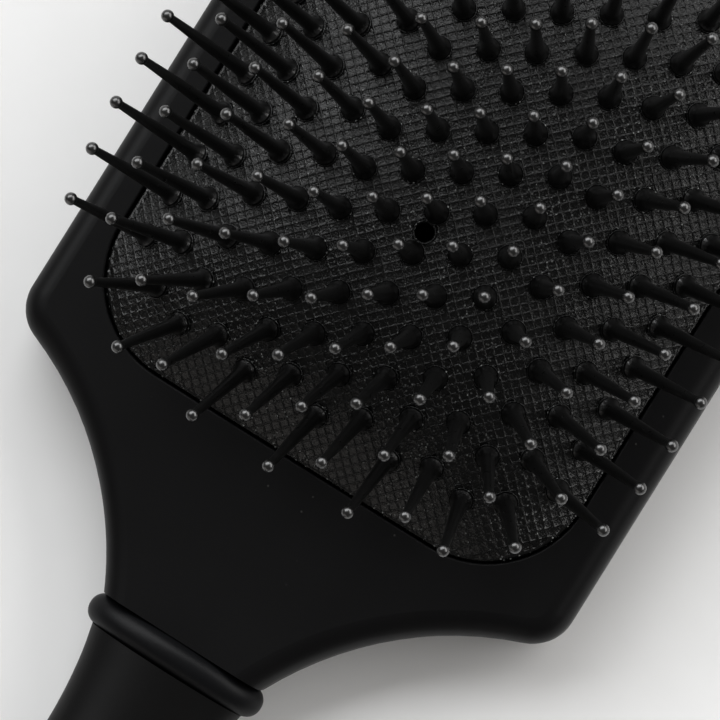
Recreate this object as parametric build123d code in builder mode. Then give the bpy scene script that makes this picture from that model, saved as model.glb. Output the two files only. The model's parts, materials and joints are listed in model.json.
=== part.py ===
"""Paddle hair brush: a flat head with an air cushion of ball-tipped pins, and a sleeved handle.

Frame, in millimetres: the brush lies on its flat back. +X is across the head, +Y runs from the
handle's end to the head's tip, and +Z is the way the pins point. The origin is the middle of the
overall length and width, on the plane of the back.
"""
import math
import os

from build123d import *

# Overall sizes
overall_length = 246.0
head_width = 85.0
head_thickness = 14.0

# Head
rim_width = 6.5              # front rim beside the cushion
tip_rim = 7.0                # front rim beyond the cushion's far end
pad_length = 93.0
pad_corner = 14.5
heel_length = 28.3           # cushion's near end to the neck ring
tip_bow = 150.0              # radius of the head's end edge
tip_corner = 20.0
shoulder_corner = 6.0
shoulder_flare = 48.0        # radius of the hollow sweep down to the neck
neck_angle = 64.0            # the sweep's slope where it meets the ring, degrees
front_round = 3.4
back_round = 4.6
mouth_round = 0.3
floor_thickness = 3.0
groove_gap = 0.2             # open groove between the rim and the cushion

# Neck, ring and handle
neck_width = 24.7
neck_rise = 2.4              # the back of the neck above the back of the head
neck_run = 22.0              # length over which it rises
ring_proud = (1.15, 1.2)     # the ring beyond the neck, at its sides and at its front and back
ring_length = 4.4
ring_round = 2.1
tang_wall = (2.0, 2.8)       # least wall round the tang, at its sides and at its front and back
tang_gap = 7.3               # tang's end to the cap's spigot
tang_corner = 3.2
tang_fit = 0.1
cap_length = 18.0
cap_spigot = 8.0
sleeve_wall = 3.2
hang_hole_radius = 3.0
hang_hole_inset = 8.5        # hole centre from the handle's end
cap_middle = (21.4, 14.0)
cap_end = (12.0, 8.6)
cap_round = 2.4

# The handle's ovals: width and thickness, and how far along the grip they stand
grip_step = (1.7, 0.8)       # the grip's first oval inside the ring's, at each side
waist_share = 0.14
grip_waist = (20.0, 12.6)
rise_share = 0.34
grip_rise = (22.0, 14.4)
palm_share = 0.68
grip_palm = (26.5, 17.2)
grip_end = (23.6, 15.6)
grip_clear = 0.15            # the grip's underside above the plane of the back, in the palm
rise_clear = 0.6             # and where it rises from the waist, at least

# Cushion and what holds it
cushion_seat = 0.4           # the skin starts this far below the rim's face
crown_height = 10.1          # top of the skin above the rim's face
across_power = 3.0           # how square the crown is across the head
along_power = 3.5            # and along it
skin = 1.6                   # rubber, measured straight down
skirt = 1.4
flange_width = 3.4
flange_thickness = 1.4
vent_radius = 1.3
vent_row = 4                 # the vent is midway from this pin of the middle column to the next
plate_thickness = 2.0
plate_gap = 0.1              # plate to the recess's wall
frame_height = 2.4
frame_gap = 0.1
stake_radius = 1.0
stake_fit = 0.05
stakes_per_side = 4
stakes_per_end = 2

# Pins
pin_length = 19.0            # skin to the top of the ball
pin_side_gap = 4.03          # outermost column to the cushion's side
ball_radius = 0.85
shaft_top_radius = 0.55
shaft_root_radius = 1.0
boss_radius = 1.5
boss_edge = 0.35
boss_height = 2.0
pin_neck_radius = 0.95
pin_hole_radius = 1.05
pin_seat_gap = 0.12
pin_head_radius = 1.6
pin_head_thickness = 0.9
# For each column, from the middle outwards: how many pins, and the end pin's gap to the pad's end
pin_columns = ((14, 6.6), (13, 9.4), (14, 6.7), (12, 8.8), (13, 7.3), (12, 10.0), (11, 15.0))

# Zones of pins that sink together, by their share of the crown's height
crown_share = 0.92
inner_share = 0.80
middle_share = 0.62
lower_share = 0.42

# Places that follow
half_width = head_width / 2
tip_y = overall_length / 2
end_y = -tip_y
pad_half_width = half_width - rim_width
pad_half_length = pad_length / 2
pad_y = tip_y - tip_rim - pad_half_length
neck_y = pad_y - pad_half_length - heel_length
ring_end_y = neck_y - ring_length
base_z = head_thickness - cushion_seat
crown_rise = crown_height + cushion_seat
plate_top = floor_thickness + plate_thickness
flange_top = plate_top + flange_thickness
cap_y = end_y + cap_length
grip_length = ring_end_y - cap_y
neck_thickness = head_thickness - neck_rise
neck_z = (head_thickness + neck_rise) / 2
ring_size = (neck_width + 2 * ring_proud[0], neck_thickness + 2 * ring_proud[1])
grip_start = (ring_size[0] - 2 * grip_step[0], ring_size[1] - 2 * grip_step[1])
tang_width = grip_waist[0] - 2 * tang_wall[0]
tang_thickness = grip_waist[1] - 2 * tang_wall[1]
tang_length = grip_length - cap_spigot - tang_gap
rise_y = neck_y + neck_run
rise_radius = (neck_run**2 + neck_rise**2) / (2 * neck_rise)


def skin_height(x, y):
    """Height of the skin's outside above the plane it starts from; x, y from the pad's middle."""
    across = 1 - abs(x / pad_half_width) ** across_power
    along = 1 - abs(y / pad_half_length) ** along_power
    return crown_rise * across * along


def skin_slopes(x, y):
    """How steeply the skin's outside climbs along +X and along +Y."""
    share_x = abs(x / pad_half_width)
    share_y = abs(y / pad_half_length)
    across = crown_rise * across_power / pad_half_width * share_x ** (across_power - 1)
    along = crown_rise * along_power / pad_half_length * share_y ** (along_power - 1)
    slope_x = -math.copysign(across * (1 - share_y**along_power), x)
    slope_y = -math.copysign(along * (1 - share_x**across_power), y)
    return slope_x, slope_y


def skin_plane(x, y):
    """Plane on the skin's outside, facing the way a pin there points."""
    slope_x, slope_y = skin_slopes(x, y)
    place = (x, pad_y + y, base_z + skin_height(x, y))
    return Plane(origin=place, z_dir=(-slope_x, -slope_y, 1))


def skin_surface(drop):
    """The skin's outside as one smooth face, lowered by drop."""
    overhang = 2.0
    steps_x = 16
    steps_y = 20
    rows = []
    for i in range(steps_x + 1):
        x = (pad_half_width + overhang) * (2 * i / steps_x - 1)
        row = []
        for j in range(steps_y + 1):
            y = (pad_half_length + overhang) * (2 * j / steps_y - 1)
            row.append((x, pad_y + y, base_z + skin_height(x, y) - drop))
        rows.append(row)
    return Face.make_surface_from_array_of_points(rows)


def skin_walk(reach):
    """Points from the middle out to a reach across the skin: offset and length along the skin."""
    steps = 600
    step = reach / steps
    walk = [(0.0, 0.0)]
    for i in range(steps):
        slope = skin_slopes((i + 0.5) * step, 0)[0]
        walk.append(((i + 1) * step, walk[-1][1] + step * math.hypot(1, slope)))
    return walk


def column_offsets():
    """Distances of the pin columns from the middle: even steps along the curved skin."""
    walk = skin_walk(pad_half_width - pin_side_gap)
    pitch = walk[-1][1] / (len(pin_columns) - 1)
    offsets = []
    for column in range(len(pin_columns)):
        nearest = min(walk, key=lambda point: abs(point[1] - column * pitch))
        offsets.append(nearest[0])
    return offsets


def pin_rows(count, end_gap):
    """Places of a column's pins along the pad, from its middle."""
    reach = pad_half_length - end_gap
    return [-reach + 2 * reach * row / (count - 1) for row in range(count)]


def pin_places():
    """Every pin's place on the skin, from the pad's middle."""
    places = []
    for offset, (count, end_gap) in zip(column_offsets(), pin_columns):
        for side in (-1, 1) if offset else (1,):
            places += [(side * offset, y) for y in pin_rows(count, end_gap)]
    return places


def pin_zone(x, y):
    """The zone that a pin sinks with: by its height and, lower down, by the side it leans to."""
    share = skin_height(x, y) / crown_rise
    if share > crown_share:
        return "crown"
    if share > inner_share:
        return "inner"
    across = abs(x / pad_half_width) ** across_power
    along = abs(y / pad_half_length) ** along_power
    if across > along:
        side = "right" if x > 0 else "left"
    else:
        side = "tip" if y > 0 else "heel"
    if share > middle_share:
        return "middle_" + side
    if share > lower_share:
        return "lower_" + side
    return "edge_" + side


def stake_places():
    """Middles of the frame's stakes, along the middle of the clamped flange."""
    inset = skirt + flange_width / 2
    side_x = pad_half_width - inset
    far_y = pad_half_length - inset
    side_run = 2 * (pad_half_length - pad_corner)
    end_run = 2 * (pad_half_width - pad_corner)
    places = []
    for i in range(stakes_per_side):
        y = side_run * ((i + 0.5) / stakes_per_side - 0.5)
        places += [(-side_x, pad_y + y), (side_x, pad_y + y)]
    for i in range(stakes_per_end):
        x = end_run * ((i + 0.5) / stakes_per_end - 0.5)
        places += [(x, pad_y - far_y), (x, pad_y + far_y)]
    return places


def pad_sketch(height, grow):
    """Sketch of the pad's rounded rectangle at a height, grown or shrunk."""
    with BuildSketch(Plane.XY.offset(height)) as outline:
        with Locations((0, pad_y)):
            RectangleRounded(2 * (pad_half_width + grow), 2 * (pad_half_length + grow), pad_corner + grow)
    return outline.sketch


def oval(size, y, height):
    """Sketch of an oval section across the handle, centred at a height."""
    width, thickness = size
    with BuildSketch(Plane(origin=(0, y, height), x_dir=(1, 0, 0), z_dir=(0, -1, 0))) as section:
        Ellipse(width / 2, thickness / 2)
    return section.sketch


def grip_height(thickness, clear):
    """Centre height of a handle section: in line with the neck, or as low as the back allows."""
    return max(neck_z, thickness / 2 + clear)


def tang_sketch(grow):
    """Sketch of the tang's section where it leaves the neck, grown by a fit."""
    with BuildSketch(Plane(origin=(0, neck_y, neck_z), x_dir=(1, 0, 0), z_dir=(0, -1, 0))) as section:
        size_x = tang_width + 2 * grow
        size_y = tang_thickness + 2 * grow
        RectangleRounded(size_x, size_y, tang_corner + grow)
    return section.sketch


def save(piece, name):
    """Label a finished piece and write its file."""
    piece.part.label = name
    export_step(piece.part, f"parts/{name}.step")


os.makedirs("parts", exist_ok=True)

# Head body: one moulding with the rim, the cushion's recess, the shoulder and the handle's tang.
# The shoulder's hollow sweep meets the side through a small outward corner.
lean = math.radians(neck_angle)
neck_point = Vector(neck_width / 2, neck_y)
flare_centre = neck_point + Vector(math.sin(lean), -math.cos(lean)) * shoulder_flare
corner_x = half_width - shoulder_corner
centre_reach = shoulder_flare + shoulder_corner
corner_y = flare_centre.Y + math.sqrt(centre_reach**2 - (flare_centre.X - corner_x) ** 2)
corner_centre = Vector(corner_x, corner_y)
toward_flare = (flare_centre - corner_centre).normalized()
corner_end = corner_centre + toward_flare * shoulder_corner
corner_middle = corner_centre + (toward_flare + Vector(1, 0)).normalized() * shoulder_corner
toward_neck = (neck_point - flare_centre).normalized()
flare_middle = flare_centre + (toward_neck - toward_flare).normalized() * shoulder_flare
# The tip's long bow runs into the side through a corner arc that touches both.
bow_centre = Vector(0, tip_y - tip_bow)
tip_corner_x = half_width - tip_corner
tip_corner_rise = math.sqrt((tip_bow - tip_corner) ** 2 - tip_corner_x**2)
tip_corner_centre = bow_centre + Vector(tip_corner_x, tip_corner_rise)
bow_side = (tip_corner_centre - bow_centre).normalized()
bow_middle = bow_centre + (bow_side + Vector(0, 1)).normalized() * tip_bow
bow_end = bow_centre + bow_side * tip_bow
tip_corner_middle = tip_corner_centre + (bow_side + Vector(1, 0)).normalized() * tip_corner
side_start = Vector(half_width, tip_corner_centre.Y)

with BuildPart() as head_body:
    with BuildSketch() as plan:
        with BuildLine():
            ThreePointArc((0, tip_y), bow_middle, bow_end)
            ThreePointArc(bow_end, tip_corner_middle, side_start)
            Line(side_start, (half_width, corner_y))
            ThreePointArc((half_width, corner_y), corner_middle, corner_end)
            ThreePointArc(corner_end, flare_middle, neck_point)
            Line(neck_point, (0, neck_y))
            mirror(about=Plane.YZ)
        make_face()
    extrude(amount=head_thickness)
    with BuildSketch(Plane.YZ) as under_neck:
        with BuildLine():
            RadiusArc((rise_y, 0), (neck_y, neck_rise), rise_radius)
            Polyline((neck_y, neck_rise), (neck_y, 0), (rise_y, 0))
        make_face()
    extrude(amount=half_width, both=True, mode=Mode.SUBTRACT)
    front_edges = head_body.faces().sort_by(Axis.Z)[-1].edges()
    fillet(front_edges - front_edges.filter_by(Axis.X), front_round)
    back_edges = head_body.edges().filter_by(lambda e: e.center().Z < neck_rise)
    fillet(back_edges - back_edges.filter_by(Axis.X), back_round)
    extrude(pad_sketch(floor_thickness, groove_gap), amount=head_thickness, mode=Mode.SUBTRACT)
    face = head_body.faces().filter_by(Axis.Z).sort_by(Axis.Z)[-1]
    fillet(face.inner_wires().edges(), mouth_round)
    extrude(tang_sketch(0), amount=ring_length + tang_length)
save(head_body, "head_body")

# Neck ring: a rolled ring threaded on the tang, between the head and the grip
with BuildPart() as neck_ring:
    extrude(oval(ring_size, neck_y, neck_z), amount=ring_length)
    fillet(neck_ring.edges(), ring_round)
    extrude(tang_sketch(tang_fit), amount=ring_length, mode=Mode.SUBTRACT)
save(neck_ring, "neck_ring")

# Grip sleeve: waisted behind the ring, full in the palm, hollow for the tang and the cap's spigot
grip_ovals = (
    (0, grip_start, rise_clear),
    (waist_share, grip_waist, rise_clear),
    (rise_share, grip_rise, rise_clear),
    (palm_share, grip_palm, grip_clear),
    (1, grip_end, grip_clear),
)
spigot_size = (grip_end[0] - 2 * sleeve_wall, grip_end[1] - 2 * sleeve_wall)
spigot_z = grip_height(grip_end[1], grip_clear)
with BuildPart() as grip_sleeve:
    sections = []
    for share, size, clear in grip_ovals:
        sections.append(oval(size, ring_end_y - share * grip_length, grip_height(size[1], clear)))
    loft(sections)
    extrude(tang_sketch(tang_fit), amount=ring_length + tang_length + tang_fit, mode=Mode.SUBTRACT)
    pocket_size = (spigot_size[0] + 2 * tang_fit, spigot_size[1] + 2 * tang_fit)
    pocket = oval(pocket_size, cap_y, spigot_z)
    extrude(pocket, amount=-cap_spigot - tang_fit, mode=Mode.SUBTRACT)
save(grip_sleeve, "grip_sleeve")

# End cap: rounds off the grip, with a hole to hang the brush by
with BuildPart() as end_cap:
    cap_middle_y = (cap_y + end_y) / 2
    loft(
        [
            oval(grip_end, cap_y, spigot_z),
            oval(cap_middle, cap_middle_y, grip_height(cap_middle[1], grip_clear)),
            oval(cap_end, end_y, grip_height(cap_end[1], grip_clear)),
        ]
    )
    fillet(end_cap.faces().sort_by(Axis.Y)[0].edges(), cap_round)
    extrude(oval(spigot_size, cap_y, spigot_z), amount=-cap_spigot)
    with Locations((0, end_y + hang_hole_inset, spigot_z)):
        Hole(hang_hole_radius)
save(end_cap, "end_cap")

# Base plate: the chamber's floor, glued into the recess, with holes for the frame's stakes
with BuildPart() as base_plate:
    extrude(pad_sketch(floor_thickness, groove_gap - plate_gap), amount=plate_thickness)
    with Locations(*((x, y, plate_top) for x, y in stake_places())):
        Hole(stake_radius + stake_fit)
save(base_plate, "base_plate")

# Cushion frame: a ring inside the skirt, staked through the flange into the plate
with BuildPart() as cushion_frame:
    extrude(pad_sketch(flange_top, -skirt - frame_gap), amount=frame_height)
    extrude(pad_sketch(flange_top, -skirt - flange_width), amount=frame_height, mode=Mode.SUBTRACT)
    with BuildSketch(Plane.XY.offset(floor_thickness)):
        with Locations(*stake_places()):
            Circle(stake_radius)
    extrude(amount=flange_top - floor_thickness)
save(cushion_frame, "cushion_frame")

# Cushion: a domed rubber skin with a skirt down to the plate and a flange turned in under the frame
middle_rows = pin_rows(*pin_columns[0])
vent_y = (middle_rows[vent_row] + middle_rows[vent_row + 1]) / 2
with BuildPart() as chamber:
    extrude(pad_sketch(flange_top, -skirt), amount=2 * crown_rise + head_thickness)
    extrude(skin_surface(skin), amount=2 * head_thickness + crown_rise, dir=(0, 0, -1), mode=Mode.INTERSECT)
with BuildPart() as cushion:
    extrude(pad_sketch(plate_top, 0), amount=2 * crown_rise + head_thickness)
    extrude(skin_surface(0), amount=2 * head_thickness + crown_rise, dir=(0, 0, -1), mode=Mode.INTERSECT)
    add(chamber.part, mode=Mode.SUBTRACT)
    opening = pad_sketch(plate_top, -skirt - flange_width)
    extrude(opening, amount=flange_thickness, mode=Mode.SUBTRACT)
    with Locations(*((x, y, flange_top) for x, y in stake_places())):
        Cylinder(stake_radius + stake_fit, 2 * flange_thickness, mode=Mode.SUBTRACT)
    with Locations((0, pad_y + vent_y, base_z + crown_rise)):
        Cylinder(vent_radius, 4 * skin, mode=Mode.SUBTRACT)
    with Locations(*(skin_plane(x, y) for x, y in pin_places())):
        Cylinder(pin_hole_radius, 4 * skin, mode=Mode.SUBTRACT)
save(cushion, "cushion")

# One pin, standing at the origin with the skin's outside at zero: inner head, neck through the
# rubber, boss, tapered shaft and ball
ball_z = pin_length - ball_radius
ball_foot = ball_z - math.sqrt(ball_radius**2 - shaft_top_radius**2)
head_top = -skin - pin_seat_gap
boss_top = pin_seat_gap + boss_edge
with BuildPart() as pin:
    with BuildSketch(Plane.XZ):
        with BuildLine():
            Polyline(
                (0, head_top - pin_head_thickness),
                (pin_head_radius, head_top - pin_head_thickness),
                (pin_head_radius, head_top),
                (pin_neck_radius, head_top),
                (pin_neck_radius, pin_seat_gap),
                (boss_radius, pin_seat_gap),
                (boss_radius, boss_top),
            )
            TangentArc((shaft_root_radius, boss_height), (boss_radius, boss_top), tangent=(0, -1))
            Line((shaft_root_radius, boss_height), (shaft_top_radius, ball_foot))
            ThreePointArc((shaft_top_radius, ball_foot), (ball_radius, ball_z), (0, pin_length))
            Line((0, pin_length), (0, head_top - pin_head_thickness))
        make_face()
    revolve(axis=Axis.Z)

# Pins, in one node for each zone of the cushion that sinks as one
zones = {}
for x, y in pin_places():
    zones.setdefault(pin_zone(x, y), []).append(skin_plane(x, y))
for zone, planes in zones.items():
    with BuildPart() as pins:
        with Locations(*planes):
            add(pin.part)
    save(pins, "pins_" + zone)
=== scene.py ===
import json
import math
import random

import bmesh
import bpy
from mathutils import Matrix, Vector


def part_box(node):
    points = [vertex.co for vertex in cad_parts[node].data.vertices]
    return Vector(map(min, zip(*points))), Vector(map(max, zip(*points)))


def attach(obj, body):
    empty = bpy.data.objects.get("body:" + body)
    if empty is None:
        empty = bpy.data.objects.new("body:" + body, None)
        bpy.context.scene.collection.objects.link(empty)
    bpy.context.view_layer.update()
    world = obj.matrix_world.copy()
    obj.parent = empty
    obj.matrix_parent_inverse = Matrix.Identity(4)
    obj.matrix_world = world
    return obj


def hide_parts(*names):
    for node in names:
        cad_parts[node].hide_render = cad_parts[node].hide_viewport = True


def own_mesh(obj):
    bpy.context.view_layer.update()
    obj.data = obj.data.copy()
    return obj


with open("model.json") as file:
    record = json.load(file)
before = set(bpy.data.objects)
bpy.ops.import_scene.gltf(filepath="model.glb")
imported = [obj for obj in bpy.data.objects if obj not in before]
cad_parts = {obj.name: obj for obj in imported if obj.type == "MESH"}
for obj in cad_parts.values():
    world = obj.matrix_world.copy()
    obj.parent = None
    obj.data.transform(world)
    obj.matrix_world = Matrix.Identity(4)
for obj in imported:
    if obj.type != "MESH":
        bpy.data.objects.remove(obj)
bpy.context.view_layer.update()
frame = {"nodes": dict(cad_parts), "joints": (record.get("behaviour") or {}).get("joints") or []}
nodes = frame["nodes"]


# ---------------------------------------------------------------------------------------------
# Head body: one ABS moulding with the rim, the shoulder and the tang, sprayed with a soft-touch
# lacquer that leaves a very fine orange peel, varies a little in gloss and holds specks of dust.
# The CAD shape stays, and takes this finish.

class Wire:
    """A socket in a material's node tree. Sums on wires add the nodes that work them out."""

    def __init__(self, tree, socket=None):
        self.tree = tree
        self.socket = socket

    def node(self, kind, settings, inputs, out=0):
        """A node of any kind: its settings first, then the values or wires of its inputs."""
        made = self.tree.nodes.new(kind)
        for name, value in settings.items():
            if name == "stops":
                ramp = made.color_ramp
                for place, level in value[1:-1]:
                    ramp.elements.new(place)
                for element, (place, level) in zip(ramp.elements, value):
                    element.position = place
                    element.color = (level, level, level, 1)
            else:
                setattr(made, name, value)
        for name, value in inputs.items():
            if isinstance(value, Wire):
                self.tree.links.new(value.socket, made.inputs[name])
            else:
                made.inputs[name].default_value = value
        return Wire(self.tree, made.outputs[out])

    def sum(self, operation, first, second):
        return self.node("ShaderNodeMath", {"operation": operation}, {0: first, 1: second})

    def __add__(self, other):
        return self.sum("ADD", self, other)

    def __radd__(self, other):
        return self.sum("ADD", other, self)

    def __sub__(self, other):
        return self.sum("SUBTRACT", self, other)

    def __rsub__(self, other):
        return self.sum("SUBTRACT", other, self)

    def __mul__(self, other):
        return self.sum("MULTIPLY", self, other)

    def __rmul__(self, other):
        return self.sum("MULTIPLY", other, self)

    def ramp(self, *stops):
        """This wire's value, remapped through straight stops of (place, level)."""
        return self.node("ShaderNodeValToRGB", {"stops": stops}, {"Fac": self})

    def mix(self, dark, light):
        """Two colours, mixed by this wire."""
        inputs = {"Factor": self, 6: (*dark, 1), 7: (*light, 1)}
        return self.node("ShaderNodeMix", {"data_type": "RGBA"}, inputs, 2)


def new_finish(name):
    """An empty material: its start wire and its surface shader."""
    material = bpy.data.materials.new(name)
    material.use_nodes = True
    tree = material.node_tree
    shader = tree.nodes["Principled BSDF"]
    return material, Wire(tree), shader


def plug(shader, **inputs):
    """Set the shader's sockets to numbers, colours or wires."""
    for name, value in inputs.items():
        socket = shader.inputs[name.replace("_", " ")]
        if isinstance(value, Wire):
            value.tree.links.new(value.socket, socket)
        else:
            socket.default_value = value


def grain(start, scale, detail=2.0, roughness=0.5):
    """Soft noise at a scale in grains per metre, in the object's own space."""
    place = start.node("ShaderNodeTexCoord", {}, {}, 3)
    inputs = {"Vector": place, "Scale": scale, "Detail": detail, "Roughness": roughness}
    return start.node("ShaderNodeTexNoise", {}, inputs)


def dust_and_glint_specks(start, scale, size):
    """Scattered specks: one where a cell's point lies this near. They make real dust on the lacquers and
    painted glints on the rubber.
    """
    place = start.node("ShaderNodeTexCoord", {}, {}, 3)
    distance = start.node("ShaderNodeTexVoronoi", {}, {"Vector": place, "Scale": scale})
    return distance.ramp((0.0, 1.0), (size * 0.5, 0.8), (size, 0.0), (1.0, 0.0))


def bump(start, height, strength, distance):
    """A surface normal roughened by a height."""
    return start.node("ShaderNodeBump", {}, {"Strength": strength, "Distance": distance, "Height": height})


def soft_touch(name, dark, light, dustiness):
    """Black soft-touch lacquer between two tones, with specks of dust in patches."""
    material, start, shader = new_finish(name)
    broad = grain(start, 45, 3)
    peel = grain(start, 2600, 2)
    dusty_patches = grain(start, 60, 1).ramp((0.0, 0.0), (0.52, 0.0), (0.66, 1.0), (1.0, 1.0))
    specks = dust_and_glint_specks(start, 420, 0.075) * dusty_patches * dustiness
    colour = (broad * 0.6 + peel * 0.4).mix(dark, light)
    dusted = start.node(
        "ShaderNodeMix", {"data_type": "RGBA"}, {"Factor": specks, 6: colour, 7: (0.09, 0.09, 0.085, 1)}, 2
    )
    plug(
        shader,
        Base_Color=dusted,
        Roughness=0.36 + broad * 0.12,
        Specular_IOR_Level=0.11,
        Normal=bump(start, peel, 0.10, 0.00008),
    )
    return material


def coat(node, material):
    """Give a CAD node its finish."""
    mesh = nodes[node].data
    mesh.materials.clear()
    mesh.materials.append(material)


lacquer = soft_touch("soft_touch_lacquer", (0.0022, 0.0022, 0.0024), (0.0042, 0.0042, 0.0044), 0.5)
coat("head_body", lacquer)


# ---------------------------------------------------------------------------------------------
# Neck ring: a rolled ring of satin plastic pushed up the tang, tight between head and grip.

ring_finish = soft_touch("ring_satin", (0.0024, 0.0025, 0.0029), (0.0050, 0.0052, 0.0058), 0.3)
coat("neck_ring", ring_finish)


# ---------------------------------------------------------------------------------------------
# Grip sleeve and end cap: a soft-touch sleeve glued on the tang, closed by a plugged-in cap.

grip_finish = soft_touch("grip_soft_touch", (0.0022, 0.0022, 0.0023), (0.0042, 0.0041, 0.0041), 0.7)
coat("grip_sleeve", grip_finish)
coat("end_cap", grip_finish)


# ---------------------------------------------------------------------------------------------
# Base plate and cushion frame: plain inner mouldings that are only seen through the vent.

inner_finish = soft_touch("plain_moulding", (0.010, 0.010, 0.010), (0.016, 0.016, 0.016), 0.0)
coat("base_plate", inner_finish)
coat("cushion_frame", inner_finish)


# ---------------------------------------------------------------------------------------------
# Pins: moulded black nylon, each with a polished ball at its tip. They stand in the rubber by
# their inner heads, zone by zone.

nylon, start, shader = new_finish("nylon")
shade = grain(start, 900, 2)
plug(
    shader,
    Base_Color=shade.mix((0.0005, 0.0005, 0.0005), (0.0012, 0.0012, 0.0011)),
    Roughness=0.25 + shade * 0.08,
    Specular_IOR_Level=1.0,
    Normal=bump(start, grain(start, 1500, 2), 0.12, 0.00012),
)
for node in nodes:
    if node.startswith("pins_"):
        coat(node, nylon)


# ---------------------------------------------------------------------------------------------
# Cushion: a moulded rubber skin, blown up over its air chamber. Its face is embossed with a fine
# net of raised ribs at 45 degrees to the handle, and its edge rolls down into the groove. Every
# pin stands in a hole with a small moulded lip round it, and the vent has a lip too.

cushion_low, cushion_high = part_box("cushion")
pad_middle = (cushion_low + cushion_high) / 2
half_x = (cushion_high.x - cushion_low.x) / 2
half_y = (cushion_high.y - cushion_low.y) / 2
crown_joint = next(j for j in frame["joints"] if j["name"] == "crown_press")
base_z = crown_joint["deforming_nodes"][0]["fixed_end_z_m"]
crown = cushion_high.z - base_z
across_power = 3.0
along_power = 3.5
edge_slope = 0.9
pad_corner = 0.0145
skin_thickness = 0.0016
edge_inset = 0.00035
edge_roll = ((0.0002, 0.00015), (0.00012, 0.00025), (0.0, 0.003))
corner_cut_step = 10
net_pitch = 0.00115
net_turn = 45
net_wander = 0.00004
least_cell_area = 0.25 * net_pitch**2
rib_side = 0.00010
rib_depth = 0.00015
floor_edge = 0.00012
floor_dip = 0.00001
pin_length = 0.019
pin_hole_radius = 0.00105
pin_lip_radius = 0.00167
vent_radius = 0.0013
vent_lip_radius = 0.0015
lip_size = 0.00011
lip_sides = 5
lip_steps = 16
rod_sides = 24
rod_length = 4 * skin_thickness
merge_distance = 1e-6


def outward(x, y):
    """Direction out of the pad's rounded outline, and how far inside the outline a point is."""
    core_x = max(pad_corner - half_x, min(half_x - pad_corner, x))
    core_y = max(pad_corner - half_y, min(half_y - pad_corner, y))
    away = Vector((x - core_x, y - core_y, 0))
    if away.length < 1e-9:
        return away, min(half_x - abs(x), half_y - abs(y))
    return away.normalized(), pad_corner - away.length


def skin_height(x, y):
    """Height of the blown-up skin over its edge, from the pad's middle."""
    across = 1 - min(1, abs(x / half_x)) ** across_power
    along = 1 - min(1, abs(y / half_y)) ** along_power
    return min(crown * across * along, edge_slope * max(0, outward(x, y)[1]))


def trim(sheet, place, away):
    """Cut a sheet off beyond a plane."""
    everything = sheet.verts[:] + sheet.edges[:] + sheet.faces[:]
    bmesh.ops.bisect_plane(sheet, geom=everything, plane_co=place, plane_no=away, clear_outer=True)


def islands(sheet):
    """The loose pieces of a mesh, each a list of its vertices, always in the same order."""
    found = set()
    for first in sheet.verts:
        if first in found:
            continue
        found.add(first)
        piece = [first]
        for vert in piece:
            for edge in vert.link_edges:
                other = edge.other_vert(vert)
                if other not in found:
                    found.add(other)
                    piece.append(other)
        yield piece


def mean(verts):
    """Middle of some vertices."""
    return sum((vert.co for vert in verts), Vector()) / len(verts)


def pin_axes():
    """Each pin's root on the skin and the direction that it points, read from the CAD pins."""
    for name, pins in nodes.items():
        if name.startswith("pins_"):
            copy = bmesh.new()
            copy.from_mesh(pins.data)
            bmesh.ops.remove_doubles(copy, verts=copy.verts, dist=merge_distance)
            for pin in islands(copy):
                pin.sort(key=lambda vert: vert.co.z)
                lower = mean(pin[: len(pin) // 3])
                away = (mean(pin[-len(pin) // 3 :]) - lower).normalized()
                pin_top = max((vert.co - lower).dot(away) for vert in pin)
                yield lower + away * (pin_top - pin_length), away
            copy.free()


def turned(place, away):
    """Matrix that stands a shape on a place, with its Z along a direction."""
    return Matrix.Translation(place) @ away.to_track_quat("Z", "Y").to_matrix().to_4x4()


def add_lip(lips, place, away, radius):
    """A thin half-sunk ring round a hole."""
    earlier = set(lips.verts)
    profile = bmesh.ops.create_circle(lips, segments=lip_sides, radius=lip_size)["verts"]
    bmesh.ops.rotate(lips, verts=profile, matrix=Matrix.Rotation(math.radians(90), 3, "X"))
    bmesh.ops.translate(lips, verts=profile, vec=(radius, 0, 0))
    around = list({edge for vert in profile for edge in vert.link_edges})
    bmesh.ops.spin(
        lips, geom=profile + around, axis=(0, 0, 1), cent=(0, 0, 0), angle=math.tau, steps=lip_steps,
        use_merge=True,
    )
    ring = [vert for vert in lips.verts if vert not in earlier]
    bmesh.ops.transform(lips, matrix=turned(place, away), verts=ring)


def add_cutter(cutters, place, away, radius):
    """A round rod through the skin, to cut a hole with."""
    bmesh.ops.create_cone(
        cutters, segments=rod_sides, radius1=radius, radius2=radius, depth=rod_length, cap_ends=True,
        matrix=turned(place, away),
    )


def new_object(name, sheet):
    """An object in the scene that holds a finished bmesh."""
    mesh = bpy.data.meshes.new(name)
    sheet.to_mesh(mesh)
    sheet.free()
    made = bpy.data.objects.new(name, mesh)
    bpy.context.scene.collection.objects.link(made)
    return made


skin = bmesh.new()
cells_across = int(2 * math.hypot(half_x, half_y) / net_pitch) + 2
bmesh.ops.create_grid(skin, x_segments=cells_across, y_segments=cells_across, size=cells_across * net_pitch / 2)
bmesh.ops.rotate(skin, verts=skin.verts, matrix=Matrix.Rotation(math.radians(net_turn), 3, "Z"))
for turn in range(corner_cut_step // 2, 360, corner_cut_step):
    away = Vector((math.cos(math.radians(turn)), math.sin(math.radians(turn)), 0))
    core = Vector((math.copysign(half_x - pad_corner, away.x), math.copysign(half_y - pad_corner, away.y), 0))
    trim(skin, core + away * (pad_corner - edge_inset), away)
for away in (Vector((1, 0, 0)), Vector((0, 1, 0)), Vector((-1, 0, 0)), Vector((0, -1, 0))):
    trim(skin, Vector((away.x * (half_x - edge_inset), away.y * (half_y - edge_inset), 0)), away)
chance = random.Random(5)
for vert in skin.verts:
    if not vert.is_boundary:
        vert.co += Vector((chance.uniform(-1, 1), chance.uniform(-1, 1), 0)) * net_wander
    vert.co.z = skin_height(vert.co.x, vert.co.y)
rim = [edge for edge in skin.edges if edge.is_boundary]
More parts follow.
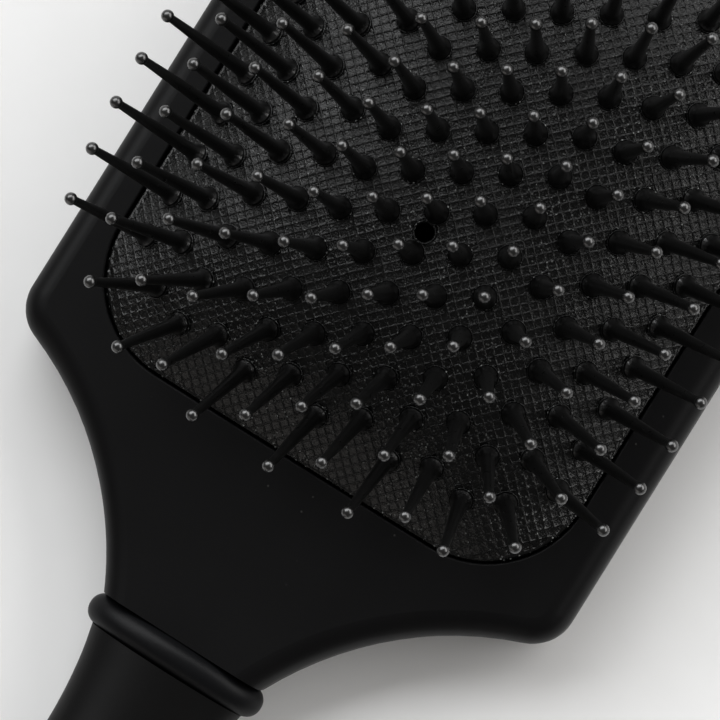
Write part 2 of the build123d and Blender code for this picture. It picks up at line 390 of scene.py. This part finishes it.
for out_step, down_step in edge_roll:
    grown = bmesh.ops.extrude_edge_only(skin, edges=rim)["geom"]
    rim = [item for item in grown if isinstance(item, bmesh.types.BMEdge)]
    for vert in {vert for edge in rim for vert in edge.verts}:
        vert.co += outward(vert.co.x, vert.co.y)[0] * out_step - Vector((0, 0, down_step))
bmesh.ops.recalc_face_normals(skin, faces=skin.faces)
bmesh.ops.solidify(skin, geom=skin.faces[:], thickness=skin_thickness)
bmesh.ops.recalc_face_normals(skin, faces=skin.faces)


def is_net(face):
    """Whether a face is part of the net, on the skin's outside and inside its rolled edge."""
    middle = face.calc_center_median()
    outside = middle.z > skin_height(middle.x, middle.y) - skin_thickness / 2
    flat_area = face.calc_area() * face.normal.z
    return outside and outward(middle.x, middle.y)[1] > edge_inset and flat_area > least_cell_area


cells = [face for face in skin.faces if is_net(face)]
for width, depth in ((rib_side, rib_depth), (floor_edge, floor_dip)):
    bmesh.ops.inset_individual(skin, faces=cells, thickness=width, depth=-depth, use_even_offset=True)
bmesh.ops.translate(skin, verts=skin.verts, vec=(0, pad_middle.y, base_z))
cushion = new_object("rubber_skin", skin)

lips = bmesh.new()
cutters = bmesh.new()
axes = list(pin_axes())
for place, away in axes:
    add_lip(lips, place, away, pin_lip_radius)
    add_cutter(cutters, place, away, pin_hole_radius)
middle_column = sorted(place.y for place, away in axes if abs(place.x) < 0.0005)
vent_y = (middle_column[4] + middle_column[5]) / 2
vent_place = Vector((0, vent_y, base_z + skin_height(0, vent_y - pad_middle.y)))
add_lip(lips, vent_place, Vector((0, 0, 1)), vent_lip_radius)
add_cutter(cutters, vent_place, Vector((0, 0, 1)), vent_radius)
bmesh.ops.recalc_face_normals(lips, faces=lips.faces)
lip_rings = new_object("lip_rings", lips)
rods = new_object("hole_rods", cutters)
for tool, operation in ((lip_rings, "UNION"), (rods, "DIFFERENCE")):
    joining = cushion.modifiers.new(tool.name, "BOOLEAN")
    joining.operation = operation
    joining.solver = "MANIFOLD"
    joining.object = tool
bpy.context.view_layer.update()
shaped = bpy.data.meshes.new_from_object(cushion.evaluated_get(bpy.context.evaluated_depsgraph_get()))
cushion.modifiers.clear()
cushion.data = shaped
for tool in (lip_rings, rods):
    bpy.data.objects.remove(tool)
shaped.materials.clear()
shaped.polygons.foreach_set("use_smooth", [True] * len(shaped.polygons))
rib = shaped.attributes.new("rib", "FLOAT", "POINT")
for vert, value in zip(shaped.vertices, rib.data):
    over_net = vert.co.z - base_z - skin_height(vert.co.x, vert.co.y - pad_middle.y)
    value.value = max(0, min(1, 1 + over_net / (rib_depth + floor_dip)))

material, start, shader = new_finish("embossed_rubber")
fine = grain(start, 3600, 3)
broad = grain(start, 110, 3)
patches = broad.ramp((0.0, 0.0), (0.40, 0.0), (0.62, 1.0), (1.0, 1.0))
raised = start.node("ShaderNodeAttribute", {"attribute_name": "rib"}, {}, 2)
# Painted glints: light grey specks in the rubber's base colour, mostly on the ribs, stand in for the small
# sparkling reflections of its facets.
specks = dust_and_glint_specks(start, 1500, 0.24) * (0.3 + raised * 0.7) * (0.35 + patches * 0.65)
colour = (fine * 0.6 + broad * 0.4).mix((0.0004, 0.0005, 0.0005), (0.0020, 0.0023, 0.0022))
speckled = start.node(
    "ShaderNodeMix", {"data_type": "RGBA"}, {"Factor": specks, 6: colour, 7: (0.34, 0.35, 0.34, 1)}, 2
)
plug(
    shader,
    Base_Color=speckled,
    Roughness=0.25 - patches * 0.09 + fine * 0.08,
    Specular_IOR_Level=0.33,
    Normal=bump(start, fine, 0.6, 0.00016),
)
cushion.data.materials.append(material)
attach(cushion, "brush_body")
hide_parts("cushion")
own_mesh(cushion)


# ---------------------------------------------------------------------------------------------
# Table: white paper under the brush, in a pale room. A large window stands to the left and a lower
# one to the right, and a weak fill comes from the handle's side.

bpy.ops.mesh.primitive_plane_add(size=3)
floor = bpy.context.object
floor.name = "paper"
floor.data.transform(Matrix.Translation((0, 0, -0.00005)))
material, start, shader = new_finish("white_paper")
fibre = grain(start, 90, 4)
plug(shader, Base_Color=fibre.mix((0.78, 0.78, 0.775), (0.82, 0.82, 0.815)), Roughness=0.9)
floor.data.materials.append(material)

world = bpy.data.worlds.new("room")
bpy.context.scene.world = world
world.use_nodes = True
world.node_tree.nodes["Background"].inputs["Color"].default_value = (1.0, 0.97, 0.95, 1)
world.node_tree.nodes["Background"].inputs["Strength"].default_value = 0.15


def window(name, turn, height, distance, size, power, colour):
    """A broad soft light: turned about the pad, this high in degrees, facing the pad."""
    light = bpy.data.lights.new(name, "AREA")
    light.shape = "RECTANGLE"
    light.size = size[0]
    light.size_y = size[1]
    light.energy = power
    light.color = colour
    lamp = bpy.data.objects.new(name, light)
    turn, height = math.radians(turn), math.radians(height)
    out = Vector((math.cos(turn), math.sin(turn), math.tan(height)))
    lamp.location = Vector((0, pad_middle.y, 0)) + out.normalized() * distance
    lamp.rotation_euler = out.to_track_quat("Z", "Y").to_euler()
    bpy.context.scene.collection.objects.link(lamp)


window("left_window", 138, 46, 2.4, (3.0, 1.7), 76, (0.98, 0.99, 1.0))
window("right_window", 48, 34, 2.2, (2.8, 1.1), 40, (1.0, 0.99, 0.98))
window("near_fill", 262, 18, 2.4, (2.4, 0.8), 6, (1.0, 0.95, 0.9))

camera_data = bpy.data.cameras.new("camera")
camera_data.sensor_width = 36
camera_data.lens = 190
camera = bpy.data.objects.new("camera", camera_data)
camera.location = (0.0533, 0.0305, 0.5140)
camera.rotation_euler = (math.radians(4.0), math.radians(4.59), math.radians(32.09))
bpy.context.scene.collection.objects.link(camera)
bpy.context.scene.camera = camera
bpy.context.scene.view_settings.view_transform = "Standard"
